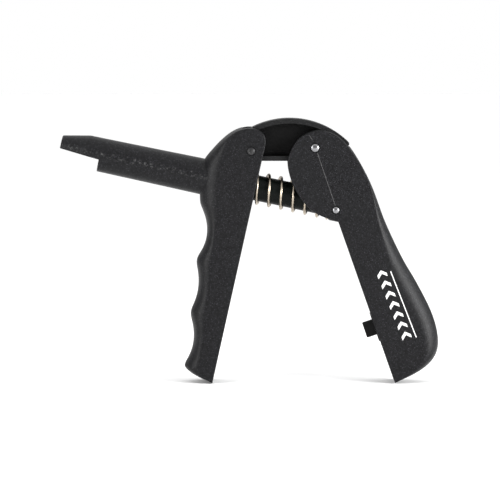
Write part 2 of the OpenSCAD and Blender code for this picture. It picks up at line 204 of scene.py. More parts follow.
# %% Curves
def smooth(points, steps):
    """A run through the points whose slope at each one is parallel to the line between its neighbours."""
    p = np.asarray(points, float)
    p = np.vstack([2 * p[0] - p[1], p, 2 * p[-1] - p[-2]])
    t = np.linspace(0, 1, steps, endpoint=False)[None, :, None]
    a, b, c, d = (p[j : len(p) - 3 + j, None, :] for j in range(4))
    run = 2 * b + (c - a) * t + (2 * a - 5 * b + 4 * c - d) * t**2 + (3 * b - a - 3 * c + d) * t**3
    return np.vstack([run.reshape(-1, p.shape[1]) / 2, p[-2:-1]])


def arc(centre, radius, start, end, count=40):
    a = np.radians(np.linspace(start, end, count))
    return np.array(centre) + radius * np.stack([np.cos(a), np.sin(a)], -1)


def eased(rows, amount):
    """Softens sharp corners in a list of rows, as a moulder breaks an edge."""
    width = 3 * amount
    weights = np.exp(-0.5 * (np.arange(-width, width + 1) / amount) ** 2)
    padded = np.pad(rows, ((width, width), (0, 0)), mode="reflect", reflect_type="odd")
    return np.stack([np.convolve(c, weights / weights.sum(), "valid") for c in padded.T], -1)


# %% [markdown]
# ## The shape of a moulded grip
# Both grips are flat on their sides and rounded towards their edges. An edge row holds the point on
# the silhouette and the way from there to the flat side: x, z, inward x, inward z. The section between
# them is a quarter of an ellipse, which leaves a narrow flat along the silhouette for the mould's
# parting line. Where the edge is only broken, the inward step is half a millimetre.


# %% A grip from its two edges
def edge_curve(rows, start, count=9):
    """Quarter ellipse from the silhouette, at start times the half width, out to the flat of the side."""
    turn = np.linspace(0, np.pi / 2, count)
    y = GRIP_HALF * (start[:, None] + (1 - start[:, None]) * np.sin(turn))
    xz = rows[:, None, :2] + rows[:, None, 2:] * (1 - np.cos(turn))[None, :, None]
    return np.stack([xz[..., 0], y, xz[..., 1]], -1)


def grip_body(name, front, back, front_start, back_start):
    """Rings of front edge and back edge, mirrored across the middle plane."""
    f, b = edge_curve(front, front_start), edge_curve(back, back_start)
    flip = np.array([1, -1, 1])
    ring = np.concatenate([f, b[:, ::-1], b * flip, f[:, ::-1] * flip], axis=1)
    return ring_solid(name, ring, caps=False)


def blended(count, main, ends, first=0, last=0):
    """main along the edge, but ends at either end, reached over the first and last rows."""
    value = np.full(count, float(main))
    for n, side in ((first, slice(None)), (last, slice(None, None, -1))):
        if n:
            t = np.clip(np.arange(count) / n, 0, 1)
            value[side] = ends + (value[side] - ends) * (t * t * (3 - 2 * t))
    return value


# %% [markdown]
# ## Seats for the pins
# Each pin ends in a shallow round seat in the cheek. Only the seat is cut here, half a millimetre deep.
# The grips have no hole right through, so the pins run on inside the plastic, where they can't be seen.

# %% Seats for the pins

def rim(point, r):
    """A shallow round seat sunk in both cheeks, a little wider than the pin that ends in it."""
    return [
        turned("cut", [[y, 0], [y, r + 0.35], [y + 1, r + 0.35], [y + 1, 0]], start=(point[0], 0, point[1]),
               direction=(0, 1, 0), sides=48)
        for y in (GRIP_HALF - 0.5, -GRIP_HALF - 0.5)
    ]


def in_frame(point, origin, lean):
    """x and z of a point of the model, in a frame at origin that leans."""
    c, s = math.cos(math.radians(lean)), math.sin(math.radians(lean))
    x, z = (point - origin) @ rearward, (point - origin) @ upward
    return [x * c + z * s, z * c - x * s]


# %% [markdown]
# ## The front grip
# The fingers hold this piece. Its front edge is three grooves, which are circular arcs between ridges on
# a leaning line, and its head is a smooth run over the front pivot. A row of points could be placed for
# the grooves too, but an arc needs only a pitch and a depth. The core of the mould leaves a channel at
# the back and a pocket for the link.

# %% Front grip: edges
FRONT_BACK = 5.2
GRIP_LENGTH = 83.7
BACK_LEAN = 0.9
GROOVE_PITCH = 22.4
GROOVE_DEPTHS = (3.9, 2.7, 3.2)
RIDGE_TOP, RIDGE_FOOT = 15.8, 9.2
ridge_z = -(GRIP_LENGTH - 4.4 - GROOVE_PITCH * 3)
foot_z = ridge_z - 3 * GROOVE_PITCH
h = PIVOT_HEIGHT
head = smooth([
    [FRONT_BACK, h - 3, -0.5, 0],
    [FRONT_BACK, h + 4.6, -0.5, -0.1],
    [FRONT_BACK - 1.9, h + 8.5, -0.4, -0.4],
    [0.2, h + 9.8, 0, -0.6],
    [-4.3, h + 9.3, 0.3, -0.8],
    [-8.9, h + 6.6, 0.7, -0.8],
    [-12.9, h + 2.1, 2, -0.6],
    [-16.4, h - 3.6, 5.4, -0.3],
    [-18.4, BARREL_R + 0.3, 7.6, 0],
], 12)
CROWN = 36


def groove(g, steps=24):
    """One finger groove: a circular arc as deep as GROOVE_DEPTHS[g], laid on the leaning ridge line."""
    t = np.arange(steps) / steps
    depth = GROOVE_DEPTHS[g]
    r = (GROOVE_PITCH**2 / 4 + depth**2) / (2 * depth)
    share = (g + t) / 3
    x = -RIDGE_TOP + (RIDGE_TOP - RIDGE_FOOT) * share
    x = x + np.sqrt(r**2 - (GROOVE_PITCH * (t - 0.5)) ** 2) - (r - depth)
    flat = -8.6 + (RIDGE_TOP - RIDGE_FOOT) * share
    return np.stack([x, ridge_z - GROOVE_PITCH * (g + t), flat - x, 0 * t], -1)


shoulder = smooth([
    [-18.4, BARREL_R + 0.3, 7.6, 0],
    [-18.6, 0, 8.4, 0],
    [-16.9, ridge_z + 3, 7.9, 0],
    [-15.8, ridge_z, 7.2, 0],
], 8)[1:-1]
foot = smooth([
    [-RIDGE_FOOT, foot_z, 7, 0.6],
    [-5.6, foot_z - 2.2, 4, 1.2],
    [-0.8, foot_z - 3.6, 1, 1],
    [FRONT_BACK - BACK_LEAN, -GRIP_LENGTH, 0, 0.4],
], 10)
front_edge = np.vstack([head[CROWN:], shoulder, groove(0), groove(1), groove(2), foot])
front_edge[CROWN:-12] = eased(front_edge, 2)[CROWN:-12]
rows = len(front_edge)


def back_line(z):
    """The straight back edge, which leans a little forward towards the foot."""
    x = FRONT_BACK - BACK_LEAN * (h - 3 - z) / (h - 3 + GRIP_LENGTH)
    return np.stack([x, z, np.full_like(z, -0.5), 0 * z], -1)


turn_row = len(head) - CROWN
neck = np.linspace(h - 3, front_edge[turn_row, 1], turn_row - CROWN + 1)[1:-1]
back_edge = np.vstack([head[CROWN::-1], back_line(np.append(neck, front_edge[turn_row:, 1]))])
back_edge[-12:, 2] *= np.linspace(1, 0, 12)
back_edge[-1] = front_edge[-1]
print(f"front grip: {rows} rows, foot {GRIP_LENGTH} mm under the barrel line")

# %% Front grip: body and hollow
HOOD_R = 9.2
HOOD_FRONT = -5.6
SHELL = 2.2
front_grip = grip_body(
    "front_grip", front_edge, back_edge,
    blended(rows, 0.14, 0.14), blended(rows, 0.95, 0.14, first=20, last=6),
)
open_back = FRONT_BACK + 5
inner_front = np.vstack([groove(g) for g in range(3)])[:, :2] + [SHELL + 3.2, 0]
inner_front = inner_front[inner_front[:, 1] < -SPRING_R - SHELL]
channel = np.vstack([
    [[inner_front[0, 0], -SPRING_R - SHELL]], inner_front,
    [[-RIDGE_FOOT + SHELL + 4.2, foot_z - 0.2 + SHELL], [open_back, foot_z - 2.6 + SHELL],
     [open_back, -SPRING_R - SHELL]],
])
seat_x = 1.4
carve(front_grip, [
    slab("cut", channel, INNER_HALF),
    slab("cut", arc((0, h), HOOD_R, 0, 354, 60), INNER_HALF),
    slab("cut", [[HOOD_FRONT, h], [open_back, h - 0.1], [open_back, h + 20], [HOOD_FRONT, h + 20]],
         INNER_HALF),
    slab("cut", [[1 - HOOD_R, BARREL_R + SHELL], [open_back, BARREL_R + SHELL], [open_back, h + 0.1],
                 [1 - HOOD_R, h + 0.1]], INNER_HALF),
    round_cut(seat_x, 12, SPRING_R + 0.25),
    round_cut(-14, 12, BORE_R),
    *rim((0, h), FRONT_PIN_R),
])
print("front grip:", len(front_grip.data.polygons), "faces")

# %% [markdown]
# ## The rear grip
# The palm presses this piece. A round lobe at the top holds two pins, and the palm side swells towards
# the foot. The palm edge is a smooth run through a few points. The front edge follows the lobe and is
# straight below it. The inward step says how far the rounding reaches over the cheek at that height.

# %% Rear grip: edges
crank = float(np.linalg.norm(bridge_pivot - plunger_pivot))
lobe_points = [
    [-0.6, -5, 0.4, 0.3],
    [-5.2, -1.6, 0.3, 0.4],
    [-9.2, 2.6, 0.45, 0.3],
    [-12.3, crank - 18.4, 0.5, 0.2],
    [-13.7, crank - 9.4, 0.6, 0],
    [-12.4, crank - 1.6, 0.6, -0.2],
    [-8.6, crank + 3.3, 0.4, -0.4],
    [-3.4, crank + 6.6, 0.2, -0.6],
]
palm_points = [
    [2.6, crank + 7.2, 0, -0.7],
    [7.8, crank + 5, -0.5, -0.7],
    [11.4, crank + 1.2, -0.7, -0.5],
    [14.3, crank - 5.2, -0.7, -0.2],
    [16.4, 13, -0.5, 0],
    [17.6, 3, -1, 0],
    [18, -11.5, -3.2, 0],
    [19.8, -27.5, -6, 0],
    [22.3, -40, -7.6, 0],
    [24.1, -52, -7.6, 0],
    [24.1, -61, -6.8, 0.5],
    [22.4, -68, -5.6, 1.2],
    [19.1, -72.3, -4, 2],
    [14, -75, -2, 2.2],
    [7.5, -76.4, -0.6, 1.6],
    [0.1, -76.9, 0, 0.4],
]
lobe_steps, palm_steps = 12, 18
every = lobe_points + palm_points
lobe = smooth(every, lobe_steps)[: lobe_steps * len(lobe_points) + 1]
palm_edge = smooth(every, palm_steps)[palm_steps * len(lobe_points) :]
rows = len(palm_edge)
straight = np.linspace(0, 1, rows - len(lobe) + 1)[1:, None]
corner, tip = lobe[0], palm_edge[-1]
inner_edge = np.vstack([lobe[::-1], corner + (np.array([tip[0], tip[1], 0.5, 0]) - corner) * straight])
inner_edge[-1] = tip

# %% Rear grip: body and hollow
rear_grip = grip_body(
    "rear_grip", inner_edge, palm_edge,
    blended(rows, 0.94, 0.25, first=16, last=6), blended(rows, 0.25, 0.25),
)
palm_inside = smooth(palm_points[4:], 10)[:, :2] - [SHELL + 0.4, 0]
palm_inside = palm_inside[palm_inside[:, 1] > -70]
hollow = np.vstack([
    [[-30, crank + 30], [30, crank + 30], [30, crank - 4.5], [14.3 - SHELL, crank - 4.5]], palm_inside,
    [[14, -72.1], [3, -73.7], [-30, -73.7]],
])
BUMPER_DROP = 52.3
BUMPER_R = 3.4

carve(rear_grip, [
    slab("cut", hollow, INNER_HALF),
    *rim((0, 0), PLUNGER_PIN_R),
    *rim(in_frame(bridge_pivot, plunger_pivot, REAR_LEAN), BRIDGE_PIN_R),
])
print("rear grip:", len(rear_grip.data.polygons), "faces")

# %% [markdown]
# ## Ribs
# Moulded channels are stiffened by thin ribs across them, set back from the open side. They are plain
# plates in the real part too.


# %% Ribs and plates
def plate(name, x0, x1, z0, z1, half):
    return slab(name, [[x0, z0], [x1, z0], [x1, z1], [x0, z1]], half)


rib_half = INNER_HALF + 0.1
RIB = 1.6
front_plates = []
for g in (1, 2):
    z = ridge_z - GROOVE_PITCH * g
    x = groove(g)[0, 0] + SHELL + 2.7
    front_plates.append(plate("rib", x, FRONT_BACK - 2.5, z - RIB / 2, z + RIB / 2, rib_half))
pad_z = -1.02 * BUMPER_DROP
pad_x = back_line(np.array([pad_z]))[0, 0] - 0.2
front_plates.append(plate("pad", pad_x - SHELL, pad_x, pad_z - 7, pad_z + 7, rib_half))
rear_plates = []
for k, x1 in enumerate((16, 16.5, 18.5)):
    z = -(14 + 19 * k)
    rear_plates.append(plate("rib", 1.9, x1, z - RIB / 2, z + RIB / 2, rib_half))
BOSS_FRONT = -0.5
boss = plate("boss", BOSS_FRONT, BOSS_FRONT + 5 + SHELL, -BUMPER_DROP - BUMPER_R - SHELL,
             -BUMPER_DROP + BUMPER_R + SHELL, rib_half)
carve(boss, [turned("cut", [[-1, 0], [-1, BUMPER_R - 0.75], [4.6, BUMPER_R - 0.75], [4.6, 0]],
                    start=(0, 0, -BUMPER_DROP))])
rear_plates.append(boss)


def joined(name, pieces):
    """Several solids in one object."""
    shape = bmesh.new()
    for piece in pieces:
        shape.from_mesh(piece.data)
        bpy.data.objects.remove(piece)
    mesh = bpy.data.meshes.new(name)
    shape.to_mesh(mesh)
    shape.free()
    return add_object(name, mesh)


front_ribs = joined("front_ribs", front_plates)
rear_ribs = joined("rear_ribs", rear_plates)

# %% [markdown]
# ## The barrel and its nose
# The barrel is a turned shape that flares a little to the rear. The nose is the same tube with its lower
# side cut away, so that a capsule can be pressed in from below with its collar in the slot. It is made
# apart from the grip, and its root is sunk in the grip's head, which spares a blend between the two.

# %% Barrel and nose
NOSE_STEP = -61.5
NOSE_TIP = NOSE_STEP - 16.9
CAPSULE_R = 3.3
COLLAR_R = 4.6
PISTON_BORE_R = 1.58
barrel = turned("barrel", [
    [NOSE_TIP, 0], [NOSE_TIP, 4.5], [NOSE_TIP + 0.3, 4.8], [NOSE_STEP - 5.9, 7.0], [NOSE_STEP - 5.1, 7.11],
    [NOSE_STEP, BARREL_R], [-40, BARREL_R + 0.2], [-12, BARREL_R + 0.5], [-12, 0],
], sides=96)
lower = [[NOSE_STEP, -1.8], [NOSE_STEP, -20], [NOSE_TIP - 5, -20], [NOSE_TIP - 5, -0.25]]
carve(barrel, [
    slab("cut", lower, 12),
    round_cut(NOSE_TIP - 1, NOSE_STEP - 0.6, CAPSULE_R),
    round_cut(NOSE_STEP - 2.8, NOSE_STEP - 0.6, COLLAR_R),
    round_cut(NOSE_STEP - 2, NOSE_STEP + 4, PISTON_BORE_R),
    round_cut(NOSE_STEP + 3, -10, BORE_R),
])
print("barrel:", len(barrel.data.polygons), "faces")

# %% [markdown]
# ## The bridge link
# This link joins the tops of both grips under an arched cover. Its section is an I: a web in the middle
# plane and a flange round the outline. One outline function with an inset draws both the body and the
# pockets on each side of the web, so the flange is equally thick all round.

# %% Bridge link
ARCH_R = 35.4
ARCH_RISE = 12.7
FOOT_DROP = 4.1
TAIL_REACH = 14.3
arch_centre = np.array([LINK_SPAN * 0.562, ARCH_RISE - ARCH_R])


def meeting(r0, centre, r1):
    """The upper point where a circle of radius r0 round the origin crosses a second circle."""
    d = np.linalg.norm(centre)
    along = (r0**2 - r1**2 + d**2) / (2 * d)
    off = math.sqrt(r0**2 - along**2)
    x, z = centre / d
    crossings = [np.array([along * x - s * off * z, along * z + s * off * x]) for s in (-1, 1)]
    return max(crossings, key=lambda p: p[1])


def angle_of(p):
    return math.degrees(math.atan2(p[1], p[0]))


def link_outline(inset):
    """A round front end, an arched top and a nearly straight foot, all moved in by inset."""
    foot_line, end = FOOT_DROP - inset, LINK_SPAN + TAIL_REACH - inset
    front_r, top_r = HOOD_R - 0.3 - inset, ARCH_R - inset
    corner = meeting(front_r, arch_centre, top_r)
    side = math.degrees(math.asin(foot_line / front_r))
    front_end = arc((0, 0), front_r, 180 + side, angle_of(corner))
    stop = math.degrees(math.acos((end - arch_centre[0]) / top_r))
    top = arc(arch_centre, top_r, angle_of(corner - arch_centre), stop, 60)[1:]
    tail = np.array([[end, 0.4 + inset], [LINK_SPAN + 4, -foot_line - 1]])
    slope = tail[0] - tail[1]
    over = slope[0] * (top[:, 1] - tail[1, 1]) > slope[1] * (top[:, 0] - tail[1, 0])
    foot_run = [[LINK_SPAN, -foot_line - 1.4], [0, -foot_line]]
    return np.vstack([front_end, top[over], tail if over.all() else tail[1:], foot_run])


FLANGE = 2.0
WEB = 2.6
bridge = slab("bridge", link_outline(0), LINK_HALF)
pocket = LINK_HALF - WEB / 2
pockets = []
for side in (-1, 1):
    pocket_y = side * (WEB / 2 + pocket)
    outline = link_outline(FLANGE)
    ring = np.array([np.insert(outline, 1, pocket_y + y, axis=1) for y in (-pocket, pocket)])
    pockets.append(ring_solid("cut", ring))
carve(bridge, pockets)
hubs = [
    turned("hub", [[-LINK_HALF, 0], [-LINK_HALF, 3.5], [LINK_HALF, 3.5], [LINK_HALF, 0]],
           direction=(0, 1, 0)),
    turned("hub", [[-LINK_HALF, 0], [-LINK_HALF, 5], [LINK_HALF, 5], [LINK_HALF, 0]],
           start=(LINK_SPAN, 0, 0), direction=(0, 1, 0)),
]
carve(bridge, hubs, "UNION")
carve(bridge, [
    turned("cut", [[-9, 0], [-9, 1.55], [9, 1.55], [9, 0]], direction=(0, 1, 0)),
    turned("cut", [[-9, 0], [-9, 3], [9, 3], [9, 0]], start=(LINK_SPAN, 0, 0), direction=(0, 1, 0)),
])
print("bridge:", len(bridge.data.polygons), "faces")

# %% [markdown]
# ## The plunger
# The rod slides in the barrel and carries a thin steel piston at its front. Its head at the rear takes
# the spring and the pin. Both are lathe shapes, so a profile of distance and radius says everything.

# %% Plunger rod and piston
ROD_FRONT = NOSE_STEP + 3 + 19.6 + 0.6
SPRING_REAR = to_plunger - 1.4 - 0.7
HEAD_R = SPRING_R - 0.1
head_back = to_plunger + 1.4 + 2
rod = turned("rod", [
    [ROD_FRONT, 0], [ROD_FRONT, ROD_R - 0.6], [ROD_FRONT + 0.6, ROD_R], [SPRING_REAR, ROD_R],
    [SPRING_REAR, HEAD_R - 0.3], [SPRING_REAR + 0.3, HEAD_R], [head_back, HEAD_R],
    [head_back + 1.5, HEAD_R - 1.5], [head_back + 1.5, 0],
], sides=96)
tip_x = NOSE_STEP + 3 - 0.9
piston = turned("piston_rod", [
    [tip_x, 0], [tip_x, 1.1], [tip_x + 0.4, 1.5], [ROD_FRONT + 5.9, 1.5], [ROD_FRONT + 5.9, 0],
], sides=48)
print("rod from", round(ROD_FRONT, 2), "to", round(head_back + 1.5, 2), "mm")

# %% [markdown]
# ## The return spring
# A compression spring is wire wound round a cylinder. Its end turns lie flat against each other, so the
# rise is slow there and even in between. The wire's section is a circle carried along the helix, set
# square to it.

# %% Return spring
TURNS = 7.55
CLOSED = 0.75
START_ANGLE = 58


def coil_rise(t):
    """How far along, in pitches, the wire has gone after t turns: parabolas at the ends, straight between."""
    head_part = t**2 / (2 * CLOSED)
    tail_part = (TURNS - CLOSED) - (TURNS - t) ** 2 / (2 * CLOSED)
    return np.where(t < CLOSED, head_part, np.where(t > TURNS - CLOSED, tail_part, t - CLOSED / 2))


turns = np.linspace(0, TURNS, int(TURNS * 72))
run = SPRING_REAR - seat_x - WIRE - 0.04
angle = np.radians(START_ANGLE + 360 * turns)
x = seat_x + 0.02 + WIRE / 2 + run * coil_rise(turns) / (TURNS - CLOSED)
radius = SPRING_R - WIRE / 2
line = np.stack([x, -radius * np.sin(angle), radius * np.cos(angle)], -1)
tangent = np.gradient(line, axis=0)
tangent /= np.linalg.norm(tangent, axis=1)[:, None]
outward = np.stack([0 * x, -np.sin(angle), np.cos(angle)], -1)
sideways = np.cross(tangent, outward)
w = np.linspace(0, 2 * np.pi, 14, endpoint=False)[None, :, None]
tube = line[:, None] + WIRE / 2 * (np.cos(w) * outward[:, None] + np.sin(w) * sideways[:, None])
spring = ring_solid("spring_wire", tube)
print("spring:", len(turns), "rings of wire")

# %% [markdown]
# ## Pins and bumper
# The pins are short turned rods with crowned ends, which stand about three tenths of a millimetre out of
# the cheeks. The bumper is a rubber plug in the rear grip that meets the front grip first.

# %% Pins and bumper
PIN_HALF = GRIP_HALF + 0.02


def pin(name, r, dome):
    """A pin across the tool. Its ends are turned, with a broken edge and a crown dome high."""
    ring = np.linspace(0, 1, 6)[:, None]
    crown = np.hstack([-PIN_HALF - dome * (1 - ring**2), (r - 0.25) * ring])
    profile = np.vstack([crown, [[-PIN_HALF + 0.25, r]], [[PIN_HALF - 0.25, r]], (crown * [-1, 1])[::-1]])
    return turned(name, profile, direction=(0, 1, 0), sides=48)


front_pin = pin("front_pin", FRONT_PIN_R, 0.3)
bridge_pin = pin("bridge_pin", BRIDGE_PIN_R, 0.3)
plunger_pin = pin("plunger_pin", PLUNGER_PIN_R, 0.25)
bumper_out = 4.3
bumper = turned("bumper_plug", [
    [-4.5, 0], [-4.5, 2.6], [0.5, 2.6], [0.5, 3.4], [bumper_out, 3.4], [bumper_out + 0.5, 3.2],
    [bumper_out + 0.5, 0],
], start=(0, 0, -BUMPER_DROP), direction=(-1, 0, 0), sides=64)

# %% [markdown]
# ## Fine lines on the rear cheek
# The mould leaves a hair-thin raised line across each cheek. It is a half-round bead three tenths of a
# millimetre wide, carried along a straight path. Its lighter colour is a painted highlight, for the light
# such a ridge catches.


# %% Mould line
def bead(name, points, y, width, height):
    """A half-round bead along points in x and z, standing on the plane at y."""
    p = np.asarray(points, float)
    d = np.gradient(p, axis=0)
    n = np.stack([-d[:, 1], d[:, 0]], -1) / np.linalg.norm(d, axis=1)[:, None]
    a = np.linspace(0, 2 * np.pi, 10, endpoint=False)
    xz = p[:, None] + n[:, None] * (width / 2 * np.cos(a))[None, :, None]
    out = y + np.sign(y) * height * np.broadcast_to(np.sin(a), xz.shape[:2])
    return ring_solid(name, np.stack([xz[..., 0], out, xz[..., 1]], -1))


line_runs = [[[-0.5, crank + 5.9], [0.1, crank + 3.4]], [[0.3, crank - 2.2], [0.3, 14], [0.3, 2]]]
mould_lines = joined("mould_lines", [
    bead("line", run_points, side * GRIP_HALF, 0.32, 0.08) for run_points in line_runs for side in (-1, 1)
])

# %% [markdown]
# ## Printed marks
# Such tools carry a small white print on the rear grip. Here it is a row of plain arrowheads and a thin
# rule beside them: ink shapes that stand two hundredths of a millimetre off the surface.

# %% Print
chevron = np.array([[0, -2], [1.5, -2], [3.2, 0], [1.5, 2], [0, 2], [1.7, 0]])


def print_shape(outline, x, z):
    points = np.asarray(outline, float) + [x, z]
    rings = [np.insert(points, 1, -GRIP_HALF - y, axis=1) for y in (-0.05, 0.02)]
    return ring_solid("ink", np.array(rings))


ink = []
for k in range(7):
    ink.append(print_shape(chevron[:, ::-1], 9.6 + 0.22 * k, -33 - 4.6 * k))
rule = np.array([[-0.2, 0], [0.2, 0], [1.5, -29.7], [1.1, -29.7]])
ink.append(print_shape(rule, 13.4, -31.5))
marks = joined("print_marks", ink)
print("print:", len(ink), "shapes")

# %% [markdown]
# ## Materials
# The grips are moulded in a mould whose walls were etched by sparks, which leaves a fine even grain
# with tiny bright facets. One node group makes that grain and every plastic uses it with its own values.


# %% Grain group
def new_group(name, inputs, outputs):
    tree = bpy.data.node_groups.new(name, "ShaderNodeTree")
    for label, kind, value in inputs:
        socket = tree.interface.new_socket(name=label, in_out="INPUT", socket_type=kind)
        socket.default_value = value
    for label, kind in outputs:
        tree.interface.new_socket(name=label, in_out="OUTPUT", socket_type=kind)
    return tree, tree.nodes.new("NodeGroupInput"), tree.nodes.new("NodeGroupOutput")


FLOAT = "NodeSocketFloat"
VECTOR = "NodeSocketVector"
grain, grain_in, grain_out = new_group(
    "spark grain",
    [("Position", VECTOR, (0, 0, 0)), ("Scale", FLOAT, 2400), ("Flecks", FLOAT, 0.5)],
    [("Height", FLOAT), ("Fleck", FLOAT), ("Cloud", FLOAT)],
)


def node(tree, kind, **values):
    made = tree.nodes.new(kind)
    for key, value in values.items():
        if hasattr(made, key):
            setattr(made, key, value)
        else:
            made.inputs[key.replace("_", " ")].default_value = value
    return made


fine = node(grain, "ShaderNodeTexNoise", Detail=3, Roughness=0.65)
cells = node(grain, "ShaderNodeTexVoronoi")
cloud = node(grain, "ShaderNodeTexNoise", Scale=1000, Detail=4, Roughness=0.75)
mottle = node(grain, "ShaderNodeMapRange", From_Min=0.36, From_Max=0.64, To_Min=0, To_Max=1)
cut = node(grain, "ShaderNodeMapRange", From_Min=0.32, From_Max=0.1, To_Min=0, To_Max=1)
pick = node(grain, "ShaderNodeTexNoise", Scale=1300, Detail=1)
rare = node(grain, "ShaderNodeMapRange", From_Min=0.45, From_Max=0.55, To_Min=0, To_Max=1)
both = node(grain, "ShaderNodeMath", operation="MULTIPLY")
share = node(grain, "ShaderNodeMath", operation="MULTIPLY")
for target in (fine, cells, cloud, pick):
    grain.links.new(grain_in.outputs["Position"], target.inputs["Vector"])
grain.links.new(grain_in.outputs["Scale"], fine.inputs["Scale"])
grain.links.new(grain_in.outputs["Scale"], cells.inputs["Scale"])
grain.links.new(cells.outputs["Distance"], cut.inputs["Value"])
grain.links.new(pick.outputs["Fac"], rare.inputs["Value"])
grain.links.new(cut.outputs["Result"], both.inputs[0])
grain.links.new(rare.outputs["Result"], both.inputs[1])
grain.links.new(both.outputs["Value"], share.inputs[0])
grain.links.new(grain_in.outputs["Flecks"], share.inputs[1])
grain.links.new(fine.outputs["Fac"], grain_out.inputs["Height"])
grain.links.new(share.outputs["Value"], grain_out.inputs["Fleck"])
grain.links.new(cloud.outputs["Fac"], mottle.inputs["Value"])
grain.links.new(mottle.outputs["Result"], grain_out.inputs["Cloud"])


# %% Plastic and rubber
def plastic(name, dark, light, rough, grain_scale, bump, flecks=0.5, specular=0.5):
    """Dark moulded plastic: two near tones mixed by a cloud, flecks of light, grain in the normal."""
    made = bpy.data.materials.new(name)
    made.use_nodes = True
    tree = made.node_tree
    shader = tree.nodes["Principled BSDF"]
    shader.inputs["Specular IOR Level"].default_value = specular
    place = tree.nodes.new("ShaderNodeTexCoord")
    group = tree.nodes.new("ShaderNodeGroup")
    group.node_tree = grain
    group.inputs["Scale"].default_value = grain_scale
    group.inputs["Flecks"].default_value = flecks
    tone = node(tree, "ShaderNodeMix", data_type="RGBA")
    tone.inputs[6].default_value = (*dark, 1)
    tone.inputs[7].default_value = (*light, 1)
    fleck = node(tree, "ShaderNodeMix", data_type="RGBA")
    fleck.inputs[7].default_value = (*(np.array(light) * 9), 1)
    gloss = node(tree, "ShaderNodeMapRange", To_Min=rough - 0.07, To_Max=rough + 0.07)
    relief = node(tree, "ShaderNodeBump", Strength=bump, Distance=0.0001)
    link = tree.links.new
    link(place.outputs["Object"], group.inputs["Position"])
    link(group.outputs["Cloud"], tone.inputs[0])
    link(tone.outputs[2], fleck.inputs[6])
    link(group.outputs["Fleck"], fleck.inputs[0])
    link(fleck.outputs[2], shader.inputs["Base Color"])
    link(group.outputs["Height"], gloss.inputs["Value"])
    link(gloss.outputs["Result"], shader.inputs["Roughness"])
    link(group.outputs["Height"], relief.inputs["Height"])
    link(relief.outputs["Normal"], shader.inputs["Normal"])
    return made


grip_plastic = plastic(
    "charcoal grip", (0.0015, 0.0015, 0.0018), (0.007, 0.007, 0.008), 0.42, 2100, 1.0, 0.8, 0.17
)
rod_plastic = plastic("dark rod", (0.003, 0.004, 0.0035), (0.004, 0.0055, 0.0045), 0.4, 3000, 0.1, 0.0, 0.08)
pin_plastic = plastic("grey pin", (0.006, 0.006, 0.007), (0.018, 0.018, 0.018), 0.42, 1500, 0.9, 0.5, 0.3)
# Painted highlight: the mould line gets a lighter colour than the grip for the light its ridge catches.
mould_line_highlight = plastic("mould line painted highlight", (0.012, 0.012, 0.013), (0.03, 0.03, 0.03), 0.4, 2400, 0.5, 0.3)
rubber = plastic("black rubber", (0.003, 0.003, 0.003), (0.006, 0.006, 0.006), 0.7, 1800, 0.3, 0.0, 0.15)
ink_white = plastic("white ink", (0.62, 0.62, 0.62), (0.75, 0.75, 0.75), 0.6, 2400, 0.4, 0.0)


# %% [markdown]
# ## Painted shade and a painted highlight
# The link's web lies deep between its flanges and looks nearly black, and that shade is painted into its
# base colour; a speckled highlight is painted along the barrel's side. Both are a mask worked out from where
# a point lies on the piece, mixed into the base colour. Light alone doesn't make either of them here.

# %% Painted shade on the link and painted highlight on the barrel
def painted_recess_shade(made, dark, near, far):
    """Painted shade: darkens the base colour towards the middle plane of the tool, deep in the web between
    the flanges.
    """
    tree = made.node_tree
    shader = tree.nodes["Principled BSDF"]
    old = shader.inputs["Base Color"].links[0].from_socket
    place = tree.nodes.new("ShaderNodeTexCoord")
    split = tree.nodes.new("ShaderNodeSeparateXYZ")
    size_y = node(tree, "ShaderNodeMath", operation="ABSOLUTE")
    depth = node(tree, "ShaderNodeMapRange", From_Min=near * MM, From_Max=far * MM, To_Min=0, To_Max=1)
    tone = node(tree, "ShaderNodeMix", data_type="RGBA")
    tone.inputs[6].default_value = (*dark, 1)
    link = tree.links.new
    link(place.outputs["Object"], split.inputs["Vector"])
    link(split.outputs["Y"], size_y.inputs[0])
    link(size_y.outputs["Value"], depth.inputs["Value"])
    link(depth.outputs["Result"], tone.inputs[0])
    link(old, tone.inputs[7])
    link(tone.outputs[2], shader.inputs["Base Color"])


link_plastic = plastic(
    "black link", (0.005, 0.005, 0.0052), (0.009, 0.009, 0.0095), 0.5, 2600, 0.5, 0.3, 0.14
)
# Painted shade: the base colour is fully dark within 2.5 mm of the middle plane and fades out by 6.5 mm.
painted_recess_shade(link_plastic, (0.0008, 0.0008, 0.0009), 2.5, 6.5)


